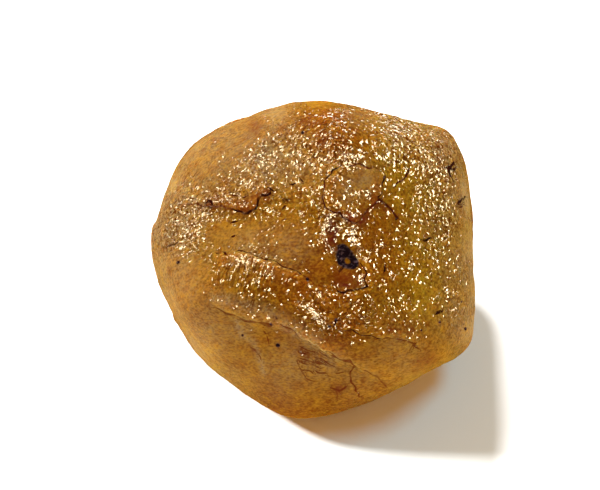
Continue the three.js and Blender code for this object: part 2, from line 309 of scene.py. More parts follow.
def dash(middle, length, slant):
    """The two ends of a short straight line."""
    half = np.array([math.cos(math.radians(slant)), math.sin(math.radians(slant))]) * length / 2
    return [tuple(np.array(middle) - half), tuple(np.array(middle) + half)]


scratches = [(FRONT, ink, width, 0, dash(middle, length, slant))
             for middle, length, slant, width, ink in DASHES]
strokes = [(FRONT, STROKE_INK, STROKE_WIDTH, 0, line) for line in STROKES]
lines = LINES + scratches + strokes
print(len(LINES), "cracks and margins,", len(scratches), "scratches,", len(strokes), "strokes")

# %% [markdown]
# ## The nearest line
# Every point of the skin learns how far it lies from the nearest line, and on which side. The side
# is kept as a signed distance, because that passes through zero exactly on the line, so a hairline
# stays sharp although it is narrower than the faces of the mesh. The points are shaken a little
# before they are measured, so that no stretch of a line is straight. Where a line has a lip, the
# skin is lifted on its left, and a fine groove runs along its foot.

# %% Distances, lips and grooves
SHAKE = 0.035
SHAKE_LENGTH = 0.5
# a lip's width, a groove's depth and width, and how far a line is felt, all in mm
LIP_WIDTH = 0.12
GROOVE = 0.035
GROOVE_WIDTH = 0.06
REACH = 0.5
# stands for "nothing near", in mm
FAR = 9.0
# the drawn width of a line against the width in its list, and the width where there is none
SLIMMING = 0.85
HAIRLINE = 0.04
FAINTEST = 0.02
TINY = 1e-9


def from_line(places, line):
    """The distance of each place from a line, and its sign, which is negative on the right."""
    nearest = np.full(len(places), np.inf)
    across = np.zeros(len(places))
    for a, b in zip(np.array(line[:-1], float), np.array(line[1:], float)):
        along = b - a
        length = np.linalg.norm(along)
        off = places - a
        t = np.clip(off @ along / length**2, 0, 1)
        distance = np.linalg.norm(off - t[:, None] * along, axis=1)
        side = (along[0] * off[:, 1] - along[1] * off[:, 0]) / length
        further = np.abs(side) > np.abs(across)
        closer = (distance < nearest - TINY) | ((distance < nearest + TINY) & further)
        nearest = np.where(closer, distance, nearest)
        across = np.where(closer, side, across)
    return nearest, np.where(across < 0, -1.0, 1.0)


shaken = skin + SHAKE * np.stack([ripple(skin, SHAKE_LENGTH, seed) for seed in (1, 2, 3)], axis=1)
crack_far = np.full(len(skin), FAR)
crack_side = np.full(len(skin), FAR)
crack_ink = np.zeros(len(skin))
crack_width = np.full(len(skin), HAIRLINE)
lift = np.zeros(len(skin))
for side, ink, width, lip, line in lines:
    places, strength = on_sheet(shaken, side)
    if side != FRONT:
        strength = strength * behind
    distance, sign = from_line(places, line)
    if lip:
        lift += strength * lip * bell(sign * distance - LIP_WIDTH, LIP_WIDTH)
        lift -= strength * GROOVE * ink * bell(distance, GROOVE_WIDTH)
    mine = (distance < crack_far) & (distance < REACH) & (strength > FAINTEST)
    crack_far = np.where(mine, distance, crack_far)
    crack_side = np.where(mine, sign * distance, crack_side)
    crack_ink = np.where(mine, ink * strength, crack_ink)
    crack_width = np.where(mine, SLIMMING * width, crack_width)
print("near a line:", int((crack_far < REACH).sum()), "points")
print("highest lip and deepest groove, in mm:", lift.max().round(3), -lift.min().round(3))

# %% [markdown]
# ## Smooth and glittering patches
# The etched skin isn't even. It glitters on the two upper cube faces and on the swollen band, and
# most of all round the pit, and it is dull and smooth in the hollow between them and low on the
# front. Each patch is a soft round spot on the front sheet, and where several overlap they add up
# without passing 1. The hidden sides have the same skin, so there the patches wander at random.

# %% Where the skin is smooth, and where it glitters most
# centre on the front sheet, radius in mm, amount
SMOOTH = [
    ((-0.9, 0.8), 0.9, 0.97), ((-2.3, 1.15), 0.7, 0.95), ((-3.4, 0.95), 0.7, 0.95),
    ((0.25, -0.2), 0.75, 0.9), ((1.2, -0.5), 0.5, 1), ((-4.7, -1.3), 1.2, 1), ((-3.9, -3), 1.4, 1),
    ((-1.9, -3.9), 1.4, 1), ((0.3, -4.4), 1.4, 1), ((2.1, -4.2), 1.2, 1), ((3.5, -3.9), 1, 0.95),
    ((4.6, -3.2), 0.9, 0.9), ((-0.6, -5.2), 1.1, 1), ((-1.9, -2.75), 0.6, 0.95),
    ((-3.2, -2), 0.55, 0.9), ((-0.8, -3), 0.5, 0.9), ((0.9, -3.3), 0.5, 0.85),
    ((2.1, -3.2), 0.5, 0.85), ((-1.2, -1.95), 0.45, 0.75), ((-1.1, -1.1), 0.5, 0.4),
    ((-2.9, 4.2), 0.8, 0.85), ((-3.9, 3.5), 0.8, 0.85), ((0.2, 6), 0.6, 0.9),
    ((-1.2, 5.6), 0.7, 0.8), ((-2.4, 5.1), 0.8, 0.9), ((1.9, 3.15), 0.55, 0.8),
    ((1.2, 2.8), 0.6, 0.5), ((1.3, 2.1), 0.3, 0.5), ((-0.8, 2), 0.7, 0.6), ((-0.1, 3), 0.5, 0.5),
    ((0.5, 2.5), 0.4, 0.4), ((1.25, 0.2), 0.35, 1), ((-4.6, 4.4), 0.9, 0.9), ((-2.1, 2.3), 0.22, 1),
    ((2.1, 3.1), 0.35, 0.8), ((0.9, -1.4), 0.35, 0.5), ((-1.4, 3.4), 0.5, 0.35),
    ((3.9, 2.9), 0.8, 0.25), ((-5.3, 3), 0.6, 0.9), ((5.9, 0.5), 0.7, 0.8), ((5.9, -2.5), 0.8, 0.9),
    ((6, 2.6), 0.7, 0.9), ((6, -1), 0.5, 0.8), ((4.3, -1.7), 1, 0.55), ((4.6, -0.4), 0.9, 0.35),
    ((3.3, -0.2), 1, 0.35), ((3, 1.4), 0.9, 0.45), ((2.2, 2), 0.6, 0.4), ((2.6, -2.2), 0.7, 0.4),
    ((-2.7, -3.1), 0.5, 0.9), ((-1, 0.1), 0.4, 0.7), ((2.1, 5.3), 0.55, 0.5),
    ((2.1, 4.1), 0.5, 0.35), ((1.6, 4.8), 0.6, 0.2), ((1.5, 5.75), 0.5, 0.6),
    ((0.4, 6.1), 0.5, 0.8), ((0, 1), 0.35, 0.25), ((2, -1), 0.5, 0.2), ((2, 0), 0.4, 0.2),
    ((-0.1, 5), 0.5, 0.3), ((3, 3), 0.4, 0.3), ((0.1, -2.75), 0.35, 0.75), ((-3.1, 1), 0.5, 0.6),
    ((-1.1, 4.1), 0.45, 0.4), ((-1, 3.1), 0.5, 0.35), ((4, -2), 0.5, 0.5), ((-1, -0.9), 0.4, 0.4),
    ((3.1, 3.1), 0.5, 0.2), ((2, -1), 0.5, 0.3), ((6, 1.9), 0.5, 0.6), ((-2, -1), 0.4, 0.25),
    ((3, 0), 0.5, 0.5), ((3, 2), 0.5, 0.65), ((3, -1), 0.5, 0.35), ((4, -1), 0.5, 0.55),
    ((4, 1), 0.5, 0.5), ((-3, -1), 0.4, 0.45), ((-1.9, -2), 0.4, 0.6), ((-1, -2), 0.35, 0.5),
    ((-1, -2.9), 0.4, 0.9), ((0, 2.9), 0.4, 0.3), ((-3, -2), 0.4, 0.9), ((3, -3), 0.5, 0.7),
    ((6.1, 1), 0.6, 0.6), ((0, 0), 0.4, 0.6), ((-0.4, -1.2), 0.35, 0.5), ((-0.9, -3.6), 0.4, 1),
    ((-2.8, -2.35), 0.35, 0.9), ((-2.6, -3.3), 0.5, 0.9), ((0.95, 1), 0.2, 0.8),
    ((2.05, 0.95), 0.35, 0.7), ((2, 1.55), 0.3, 0.5), ((3.2, 2.9), 0.8, 0.3),
    ((2.4, -0.6), 0.6, 0.35), ((-4.4, -0.6), 0.5, 0.9), ((-2.1, 2.3), 0.5, 0.4),
    ((-4.3, -0.2), 0.6, 0.8), ((-5.4, -0.1), 0.5, 0.8), ((4.6, 5.2), 0.5, 0.6),
]
GLITTER = [
    ((0.32, 0.9), 0.14, 1), ((0.42, 1.15), 0.15, 1), ((0.52, 1.4), 0.15, 1), ((0.6, 1.68), 0.15, 1),
    ((0.85, 1.75), 0.1, 1), ((1.05, 1.72), 0.1, 1), ((1, 1.2), 0.09, 0.9), ((1.27, 1.58), 0.11, 1),
    ((1.43, 1.38), 0.14, 1), ((1.48, 1.1), 0.14, 1), ((1.53, 0.85), 0.14, 1), ((1.6, 0.6), 0.13, 1),
    ((1.67, 0.4), 0.13, 1), ((1.77, 0.22), 0.13, 1), ((2, 0.15), 0.1, 0.8), ((0.9, 0.9), 0.09, 0.8),
    ((1.63, -0.38), 0.14, 1), ((1.72, -0.52), 0.15, 1), ((1.84, -0.72), 0.14, 1),
    ((-0.5, -1.4), 0.15, 0.9), ((-0.28, -1.55), 0.17, 1), ((-0.02, -1.7), 0.16, 1),
    ((0.17, -1.95), 0.16, 0.9), ((0.36, -2.15), 0.15, 0.9), ((0.55, -2.37), 0.12, 0.8),
    ((-2.2, 0.05), 0.4, 0.6), ((-3, 0.1), 0.4, 0.6), ((-1.3, -0.2), 0.3, 0.3),
    ((1, 3.9), 0.45, 0.6), ((0.8, 3.1), 0.35, 0.4), ((-2, 3.8), 0.4, 0.4), ((3, 4.9), 0.5, 0.3),
    ((4.7, 3), 0.5, 0.2), ((-3.9, 1.9), 0.5, 0.25), ((-3, 2.1), 0.4, 0.2), ((-4.9, 1.2), 0.5, 0.5),
    ((2, -2), 0.4, 0.25), ((1.1, 1.2), 0.45, 0.25), ((-0.9, 4), 0.9, 0.12), ((2.6, 4.2), 0.9, 0.12),
    ((0.35, 2.6), 0.25, 0.5), ((0.2, 3), 0.5, 0.2), ((0.1, 2.25), 0.3, 0.3),
    ((-2.05, 4.4), 0.13, 0.9), ((-1.95, 3.95), 0.13, 0.9), ((-1.85, 3.65), 0.12, 0.8),
    ((-1.7, 3.3), 0.1, 0.7), ((-0.32, 1.5), 0.09, 1), ((-0.3, 1.3), 0.09, 1),
    ((-0.25, 1.05), 0.09, 0.9), ((-0.4, 1.75), 0.12, 0.7), ((1.6, -1.9), 0.7, 0.1),
    ((1.3, 2.75), 0.15, 0.8),
]


def patches(spots):
    """How much of a kind of patch lies on each point of the skin, from 0 to 1."""
    places, strength = on_sheet(skin, FRONT)
    bare = np.ones(len(skin))
    for centre, radius, amount in spots:
        away = np.linalg.norm(places - np.array(centre), axis=1)
        bare *= 1 - np.clip(amount * strength * bell(away, radius), 0, 1)
    return 1 - bare


def wander(length, seed, start, end, most=1):
    """Random soft patches on the hidden sides, about a length apart, in mm. They begin where the
    waves pass start, and reach their most at end."""
    return behind * ease(ripple(skin, length, seed), start, end) * most


smooth = patches(SMOOTH) + wander(5, 11, 0, 0.8, most=0.9)
etch = 1 - np.clip(smooth, 0, 1)
glitter = patches(GLITTER) + wander(3, 16, 0.3, 1.2, most=0.25)
print("etched:", round(100 * float(etch.mean())), "% of the skin")

# %% [markdown]
# ## Tints
# The crystal's colour wanders from olive on the right over amber in the middle to tan at the left
# and along the rims. Along the rims the tan is painted sheen, the pale reflection of the bright
# surroundings at a grazing angle; elsewhere it is the crystal's own paler tone. Along the bottom
# edge the amber is painted shade, where the underside turns down towards the paper. A few places
# are painted darker, as shade, and rust has crept in beside the cracks. The tan also runs in a pale
# strip above the lowest layer, and the amber and the rust follow some of the cracks, so strips
# along a line are added to the round spots.

# %% Where each tint lies
# centre on the front sheet, radius in mm, amount
# on the rims these spots are painted sheen, a pale reflection; elsewhere they are the crystal's own
# tone
TAN_AND_SHEEN = [
    ((-5.6, 1.4), 1.5, 0.9), ((-5.4, -1), 1.3, 0.6), ((-4.3, -3), 1.2, 0.5), ((-3.6, 4), 1.4, 0.7),
    ((-2, 4.2), 1.2, 0.6), ((-1.5, 5.5), 0.7, 0.7), ((1.8, 5.6), 0.6, 0.5), ((3.4, 4.7), 0.8, 0.6),
    ((1.8, 3.1), 0.6, 0.7), ((1.2, 2.5), 0.5, 0.4), ((1.5, -4.2), 1, 0.25), ((6.1, 0), 1.1, 1),
    ((5.9, 2.5), 1.1, 0.9), ((6, -2.2), 1.1, 0.9), ((0.5, -3.6), 0.6, 0.5),
    ((-2.5, -2.4), 0.5, 0.5), ((4.8, 4.2), 0.8, 0.9), ((-0.5, 3.7), 1, 0.45), ((-1.7, 4), 0.8, 0.5),
    ((-1.6, 0.6), 0.8, 0.4), ((-2.6, 0.6), 0.7, 0.4), ((-0.6, 0.6), 0.8, 0.35),
    ((-1.2, -4.1), 1.2, 0.4), ((-3, -4.2), 0.8, 0.3), ((-3.8, -2.4), 0.9, 0.4),
    ((3.3, -3.3), 1.1, 0.35), ((-0.5, -3.6), 0.8, 0.3), ((-4.7, 2.6), 0.8, 0.7),
    ((4.6, 1.5), 0.8, 0.35), ((4.7, 3.5), 0.7, 0.3), ((5.6, -1.6), 0.6, 0.4),
    ((-4.5, 3.6), 0.8, 0.4), ((-4.6, -2.6), 0.8, 0.4), ((-4.8, 0), 1, 0.1),
]
# along the bottom edge these spots are painted shade on the underside; elsewhere they are the
# crystal's own amber
AMBER_AND_SHADE = [
    ((0.1, -2.2), 0.9, 0.6), ((-0.9, 0.7), 0.9, 0.3), ((-0.5, -0.4), 0.5, 0.45),
    ((0.45, 0.45), 0.4, 0.5), ((-0.4, 0.4), 0.4, 0.25), ((0.5, 5.3), 0.45, 1),
    ((-0.3, 5.1), 0.45, 0.9), ((0.9, 4.7), 0.6, 0.5), ((0.6, -1.2), 0.9, 0.8),
    ((1.3, -2.1), 0.7, 0.9), ((-1.4, -0.8), 0.9, 0.6), ((-0.2, -5.9), 0.9, 1), ((1.4, -5.7), 1, 1),
    ((-1.5, -5.4), 0.9, 0.9), ((2.6, -5), 0.6, 0.7), ((2.3, 1), 1.1, 0.7), ((-1, 4.9), 0.35, 0.6),
    ((-2.2, 2.15), 0.25, 1), ((2.6, -0.4), 1, 0.7), ((-0.6, -1.3), 0.8, 0.5),
    ((0.4, 4.3), 0.5, 0.6), ((1.2, 4.4), 0.7, 0.7), ((2.3, 2.7), 0.5, 0.6),
    ((1.1, -2.85), 0.5, 0.8), ((-1.4, -2.6), 0.4, 0.7), ((-0.5, -3.2), 0.3, 0.7),
    ((-0.4, -2.6), 0.4, 0.5), ((0.4, -0.5), 0.5, 0.6), ((3.2, -2.2), 0.7, 0.4),
]
OLIVE = [
    ((4.6, 1.6), 2.2, 1), ((3.9, -1), 1.6, 0.9), ((3.4, 4), 1.4, 0.8), ((-2.2, -0.9), 0.8, 0.6),
]
RUST = [
    ((0.7, 1.2), 0.22, 0.9), ((0.55, 0.75), 0.22, 0.8), ((0.8, 0.5), 0.2, 0.8),
    ((1.3, -0.65), 0.4, 0.6), ((2.35, 2.2), 0.22, 0.8), ((2.75, 1.95), 0.25, 0.7),
    ((1.45, 1.75), 0.2, 0.7), ((3.1, 1.6), 0.2, 0.6), ((-3.74, 2.17), 0.13, 1),
    ((-2.4, 1.9), 0.14, 0.7), ((-1.75, 2.48), 0.14, 0.7), ((4.3, -3.55), 0.3, 0.6),
    ((3.9, -3.75), 0.25, 0.5), ((0.35, 4.6), 0.25, 0.5), ((-0.9, -2.55), 0.2, 0.5),
    ((-0.3, -3.4), 0.22, 0.5), ((4.2, 0.97), 0.1, 1), ((-2.1, 5), 0.3, 0.7), ((1, -4.66), 0.2, 0.7),
    ((-2.2, -3.3), 0.16, 0.5), ((2.9, -2.48), 0.12, 0.7), ((3.65, -2.48), 0.12, 0.7),
    ((1.85, 1.5), 0.18, 0.6), ((0.95, 0.95), 0.2, 0.5), ((1, -0.25), 0.2, 0.7),
]
# painted shade: spots that darken places lit too brightly, mostly near the rims and at the left
PAINTED_SHADE = [
    ((-4.4, 3.7), 0.8, 0.3), ((-0.8, 0.8), 1.2, 0.12), ((-4.7, -2.6), 0.9, 0.28),
    ((-5.7, -0.7), 0.7, 0.25), ((-2.4, 5.7), 0.7, 0.4), ((-5, -2.2), 0.6, 0.2),
    ((1.7, 5.6), 0.6, 0.6), ((1.3, 4.5), 0.8, 0.15), ((-0.3, 4.6), 0.7, 0.12),
    ((-2.9, 5.2), 0.8, 0.1), ((-3.6, 4.6), 0.7, 0.15), ((-2.4, 4.6), 1.2, 0.08),
]
# pale, amber and rusty strips along a line: width in mm, amount, points
STRIPS = [
    (0.28, 0.75, [(-3.5, -1.3), (-2.3, -1.62), (-1.3, -2.05), (-0.5, -2.5), (0.1, -2.8)]),
    (0.12, 0.5, [(-2.8, -2.2), (-2.6, -2.7), (-2.2, -2.9), (-1.95, -3.6), (-1.8, -4)]),
]
STAINED = [
    (0.15, 0.9, [(-2.75, 2.12), (-2.5, 2.03), (-2.3, 2.08), (-2.15, 2.3), (-2.02, 2.5),
                 (-1.68, 2.6)]),
    (0.3, 0.8, [(-4.4, 2.3), (-3.4, 2.2), (-2.6, 2.1)]),
    (0.15, 0.8, [(-3.9, 2.2), (-3.6, 2.1)]),
    (0.2, 0.8, [(1, -0.6), (1.5, -0.6), (1.85, -0.55)]),
    (0.2, 0.6, [(-0.1, 5.2), (0.5, 5.35), (1.2, 5.3)]),
]
REDDENED = [
    (0.13, 0.9, [(0.6, 1.6), (0.8, 1.25), (0.75, 0.8)]),
    (0.1, 0.7, [(1.75, 1.4), (2.4, 2.25)]),
    (0.12, 0.6, [(1.1, 1.85), (1.5, 1.55), (2, 1.95)]),
    (0.1, 0.6, [(0.95, -0.85), (1.5, -0.85), (1.9, -0.7)]),
]
# the least and the most tan on the hidden sides
HIDDEN_TAN = (0.3, 1.0)


def strips(bands):
    """The same as patches, for strips that follow a line."""
    places, strength = on_sheet(shaken, FRONT)
    bare = np.ones(len(skin))
    for width, amount, line in bands:
        bare *= 1 - amount * strength * bell(from_line(places, line)[0], width)
    return 1 - bare


least, most = HIDDEN_TAN
hidden_tan = behind * (least + (most - least) * ease(ripple(skin, 6, 12), -0.2, 0.9))
tan = patches(TAN_AND_SHEEN) + strips(STRIPS) + hidden_tan
amber = patches(AMBER_AND_SHADE) + strips(STAINED) + wander(4, 13, 0.2, 1.2)
olive = patches(OLIVE) + wander(7, 14, 0, 1, most=0.6)
rust = patches(RUST) + strips(REDDENED) + wander(2.5, 15, 1, 1.6, most=0.45)
painted_shade = patches(PAINTED_SHADE)
for name, tint in {"tan": tan, "amber": amber, "olive": olive, "rust": rust, "painted_shade": painted_shade}.items():
    print(name, "covers about", round(100 * float(np.clip(tint, 0, 1).mean())), "%")

# %% [markdown]
# ## The lie of the facets
# Acid works along the crystal's own directions, so the little facets that it leaves are drawn out
# one way on each face. On the left upper face they lie aslant and are small. On the swollen band
# they lie steeper. On the right upper face and round the pit they are bold, which is to say larger.

# %% Where the facets lie aslant, in a band, or bold
ASLANT = [
    ((-3.6, 1.2), 1.3, 1), ((-4.6, 0.9), 1.2, 1), ((-2.2, 1.3), 1, 1), ((-2.2, 3), 1.2, 1),
]
BAND = [
    ((-1.9, -0.5), 1.1, 1), ((-2.9, -0.2), 0.7, 1), ((-2.4, -1), 0.8, 0.9), ((-1, -1.2), 0.8, 0.7),
]
BOLD = [
    ((1.2, 4.4), 1.5, 1), ((2.8, 4), 1.4, 1), ((1.1, 1.2), 0.8, 1), ((1.7, 0), 0.7, 1),
    ((0, -1.8), 0.8, 1),
]
# a patch counts from here on
COUNTS = 0.45
aslant = patches(ASLANT)
band = patches(BAND)
bold = patches(BOLD)
for name, part in {"aslant": aslant, "band": band, "bold": bold}.items():
    print(name, "facets on", int((part > COUNTS).sum()), "points")

# %% [markdown]
# ## Specks and the dark mark
# A few black specks are inclusions that reach the skin. The dark mark is a bigger one. It is six
# sided and has a pale hole in it. Both are kept as distances from their edge, for the same reason
# as the cracks: the edge then stays sharp between the points of the mesh.

# %% Specks, mark and hole
# centre and radius of each speck, in mm
SPECKS = [
    ((4.02, -2.5), 0.05), ((5.66, -2.45), 0.06), ((4.7, -2.2), 0.05), ((5.52, -1.45), 0.05),
    ((-1.27, -3.05), 0.08), ((-1.53, -2.28), 0.05), ((-1.33, -2.03), 0.045), ((-4.95, 0), 0.07),
    ((0.87, -2.1), 0.06), ((0.63, -2.35), 0.06), ((-2.57, -2.68), 0.05), ((-0.2, -0.62), 0.07),
    ((5.1, 3.2), 0.05), ((3.1, 1.62), 0.05), ((2.64, 3.15), 0.055), ((-0.36, 4.79), 0.06),
]
# the mark's rim, and the hole's centre and radius
MARK = [
    (0.9, 0.62), (1.15, 0.67), (1.44, 0.42), (1.64, 0.12), (1.64, -0.1), (1.52, -0.28),
    (1.24, -0.2), (1.02, -0.06), (0.9, 0.3),
]
HOLE = ((1.3, 0.06), 0.14)


def within(places, corners):
    """Whether each place lies inside a closed shape."""
    inside = np.zeros(len(places), bool)
    for a, b in zip(corners, corners[1:] + corners[:1]):
        above = (places[:, 1] < a[1]) != (places[:, 1] < b[1])
        crossing = a[0] + (places[:, 1] - a[1]) * (b[0] - a[0]) / ((b[1] - a[1]) or TINY)
        inside ^= above & (places[:, 0] < crossing)
    return inside


def from_mark():
    """The distance from the edge of the dark mark, in mm, negative inside the dark. It is 1 where
    the front sheet hardly reaches."""
    places, strength = on_sheet(shaken, FRONT)
    rim = from_line(places, MARK + MARK[:1])[0]
    rim = np.where(within(places, MARK), -rim, rim)
    hole = HOLE[1] - np.linalg.norm(places - np.array(HOLE[0]), axis=1)
    return np.where(strength > 0.5, np.maximum(rim, hole), 1)


def from_specks():
    """How many of its own radiuses each point lies from the nearest speck."""
    places, strength = on_sheet(skin, FRONT)
    nearest = np.full(len(skin), FAR)
    for centre, radius in SPECKS:
        away = np.linalg.norm(places - np.array(centre), axis=1) / radius
        nearest = np.minimum(nearest, away)
    return np.where(strength > 0.1, nearest, FAR)


mark = from_mark()
speck = from_specks()
print("points in the mark and in the specks:", int((mark < 0).sum()), int((speck < 1).sum()))

# %% [markdown]
# ## Move the skin and store what it knows
# The lips and grooves move the points themselves. Everything else is stored on the mesh as
# attributes, one number for each point, because both Geometry Nodes and the material can read
# those by name. Near the paper the relief dies out, so that the flat the stone rests on stays flat.

# %% Lips, grooves and attributes
# from the first to the second height above the paper, in mm, the relief grows to its full size
FOOT = (0.02, 0.5)
# how much of the hillocks the glittering spots lose, because their facets are broad and flat
FLATTENED = 0.7


def write_points(obj, points):
    """Puts points, in millimetres from the heart, back into the mesh."""
    flat = (points * MM + np.array(HEART)).reshape(-1)
    obj.data.vertices.foreach_set("co", flat.astype(np.float32))
    obj.data.update()


def store(obj, name, values):
    """Keeps one number for each point of the mesh, for the nodes to read."""
    attribute = obj.data.attributes.new(name, "FLOAT", "POINT")
    attribute.data.foreach_set("value", np.clip(values, -FAR, FAR).astype(np.float32))


def normals(obj):
    """The outward direction at each point."""
    flat = np.empty(len(obj.data.vertices) * 3)
    obj.data.vertices.foreach_get("normal", flat)
    return flat.reshape(-1, 3)


free = ease(skin[:, 2] + HEART.z / MM, *FOOT)
write_points(crystal, skin + normals(crystal) * (lift * free)[:, None])
MASKS = {
    "crack_far": crack_far, "crack_side": crack_side, "crack_ink": crack_ink,
    "crack_width": crack_width, "etch": etch * free, "glitter": glitter, "tan": tan,
    "amber": amber, "olive": olive, "rust": rust, "painted_shade": painted_shade, "aslant": aslant, "band": band,
    "bold": bold, "mark": mark, "speck": speck,
}
for name, values in MASKS.items():
    store(crystal, name, values)
store(crystal, "relief", etch * free * (1 - FLATTENED * patches(GLITTER)))
print("stored relief,", ", ".join(MASKS))

# %% [markdown]
# ## The finish
# The crystal is cloudy, so light enters it, wanders about and comes out again: that is
# subsurface scattering. Diamond bends light strongly, so its skin is also shiny, and the fine
# etching breaks every reflection into dashes. One Principled shader does both. Its colour is laid
# on in coats, and its shine and bump come from one pattern of tiny facets. First come the tints,
# and a few helpers that add nodes, because every node tree here needs them.

# %% Tints


def linear(red, green, blue):
    """A colour given in 8-bit display values, as linear light."""
    return tuple((v / 255 / 12.92) if v <= 10 else ((v / 255 + 0.055) / 1.055) ** 2.4
                 for v in (red, green, blue)) + (1.0,)


BODY = linear(142, 98, 11)
OLIVE_TINT = linear(156, 127, 22)
TAN_TINT = linear(157, 135, 95)
AMBER_TINT = linear(122, 59, 2)
RUST_TINT = linear(101, 36, 19)
FLECK_TINT = linear(100, 50, 2)
# the colour of painted shade
PAINTED_SHADE_TINT = linear(82, 41, 3)
PALE = linear(186, 132, 34)
INK = linear(38, 10, 3)
STAIN = linear(84, 26, 5)
SOOT = linear(22, 8, 18)
# a grey for the painted highlights on the specks and the dark mark
ASH_HIGHLIGHT = linear(104, 82, 84)
print("the body colour, as linear light:", [round(part, 3) for part in BODY[:3]])

# %% Helpers that add nodes, and an empty finish


def add(tree, kind, inputs=None, **settings):
    """Adds a node to a tree, sets it up, and links or fills its inputs."""
    made = tree.nodes.new(kind)
    for name, value in settings.items():
        setattr(made, name, value)
    for socket, value in (inputs or {}).items():
        if isinstance(value, bpy.types.NodeSocket):
            tree.links.new(value, made.inputs[socket])
        else:
            made.inputs[socket].default_value = value
    return made


def math_node(tree, operation, *values, clamp=False):
    """A Math node's result."""
    inputs = dict(enumerate(values))
    return add(tree, "ShaderNodeMath", inputs, operation=operation, use_clamp=clamp).outputs[0]


def times(tree, first, second):
    """A product."""
    return math_node(tree, "MULTIPLY", first, second)


def vector_node(tree, operation, *values, **more):
    """A Vector Math node's results."""
    inputs = dict(enumerate(values)) | more
    return add(tree, "ShaderNodeVectorMath", inputs, operation=operation).outputs


cloudy_diamond = bpy.data.materials.new("cloudy_diamond")
cloudy_diamond.use_nodes = True
finish = cloudy_diamond.node_tree
shader = finish.nodes["Principled BSDF"]
mask = {n: add(finish, "ShaderNodeAttribute", attribute_name=n).outputs["Fac"] for n in MASKS}
place = add(finish, "ShaderNodeTexCoord").outputs["Object"]
print("the finish reads", len(mask), "attributes")

# %% [markdown]
# ## The facets
# A Voronoi texture splits the skin into cells a twentieth of a millimetre wide, and each cell gets
# a plane tilted its own way. Light then flashes from a cell or it doesn't, as on the real etched
# skin, where a noise would only give soft ripples. Squeezing the places along a direction before
# the texture reads them draws the cells out into dashes. The direction changes from face to face
# in clean steps, because a half-way direction would shear the cells.

# %% Facets drawn out along the lie of each face
FACET = 0.054
# how the facets lie, in degrees from level on the front: the two ways on most faces, and two others
LIE_STEEP, LIE_HALF = 110, 45
LIE_ASLANT = 32
LIE_BAND = 66
# the width of the areas that share one of the two ways, and of the twists in a dash, in mm
LIE_AREA = 0.8
TWIST_WIDTH = 0.22
# how far the twists push, in mm, and how strongly the cells are drawn out: elsewhere, on the band
TWIST = (0.22, 0.08)
DRAWN = (0.5, 0.75)
# how much finer the aslant facets are, and how much coarser the bold ones
FINER_ASLANT = 1.35
COARSER_BOLD = -0.2
MIDDLE = (0.5, 0.5, 0.5)
# turns a cell's random colour into one random number
SPREAD = (7.1, 5.3, 3.7)


def on_front(right, up):
    """The direction in space of a direction on the front sheet."""
    right_axis, up_axis, _ = sheet_axes(FRONT)
    return (right_axis * right + up_axis * up).normalized()


def lying(degrees):
    """A direction on the front of the stone, as an angle from level."""
    return on_front(math.cos(math.radians(degrees)), math.sin(math.radians(degrees)))


def noise(tree, place, spacing, detail=2.0, output=0):
    """Cloudy random values, about a spacing apart, in mm. Output 1 is a colour."""
    inputs = {"Vector": place, "Scale": 1 / (spacing * MM), "Detail": detail}
    return add(tree, "ShaderNodeTexNoise", inputs).outputs[output]


def between(tree, value, at_none, at_full):
    """The first number where the value is 0, the second where it is 1."""
    return math_node(tree, "MULTIPLY_ADD", value, at_full - at_none, at_none)


def over(tree, value, limit):
    """1 where the value is over the limit, and 0 elsewhere."""
    return math_node(tree, "GREATER_THAN", value, limit)


def choose(tree, here, first, second):
    """The first vector where here is 0, and the second where it is 1."""
    inputs = {0: here, 4: first, 5: second}
    return add(tree, "ShaderNodeMix", inputs, data_type="VECTOR").outputs[1]


def drawn_out(tree, place, direction, amount):
    """Places squeezed along a direction, so that a texture read there is drawn out along it."""
    along = vector_node(tree, "DOT_PRODUCT", place, direction)["Value"]
    shift = vector_node(tree, "SCALE", direction, Scale=times(tree, along, amount))
    return vector_node(tree, "SUBTRACT", place, shift[0])[0]


def facets(tree, place, size, finer):
    """Small flat facets, each tilted its own way: their height in mm, and a number for each.
    Where finer is 2, they are half as wide."""
    place = vector_node(tree, "SCALE", place, Scale=finer)[0]
    cells = add(tree, "ShaderNodeTexVoronoi", {"Vector": place, "Scale": 1 / (size * MM)}).outputs
    off = vector_node(tree, "SUBTRACT", place, cells["Position"])[0]
    tilt = vector_node(tree, "SUBTRACT", cells["Color"], MIDDLE)[0]
    rise = vector_node(tree, "DOT_PRODUCT", off, tilt)["Value"]
    spread = vector_node(tree, "DOT_PRODUCT", cells["Color"], SPREAD)["Value"]
    height = math_node(tree, "DIVIDE", rise, times(tree, finer, MM))
    return height, math_node(tree, "FRACT", spread)


here = {name: over(finish, mask[name], COUNTS) for name in ("aslant", "band", "bold")}
turned = over(finish, noise(finish, place, LIE_AREA), 0.5)
way = choose(finish, turned, lying(LIE_STEEP), lying(LIE_HALF))
way = choose(finish, here["aslant"], way, lying(LIE_ASLANT))
way = choose(finish, here["band"], way, lying(LIE_BAND))
twist = vector_node(finish, "SUBTRACT", noise(finish, place, TWIST_WIDTH, 0, 1), MIDDLE)[0]
push = between(finish, here["band"], TWIST[0] * MM, TWIST[1] * MM)
twisted = vector_node(finish, "ADD", vector_node(finish, "SCALE", twist, Scale=push)[0], place)[0]
finer = between(finish, here["aslant"], 1.0, FINER_ASLANT)
finer = math_node(finish, "MULTIPLY_ADD", here["bold"], COARSER_BOLD, finer)
stretched = drawn_out(finish, twisted, way, between(finish, here["band"], *DRAWN))
height, number = facets(finish, stretched, FACET, finer)
print("facets of", FACET, "mm, and", round(FACET / FINER_ASLANT, 3), "mm where they lie aslant")

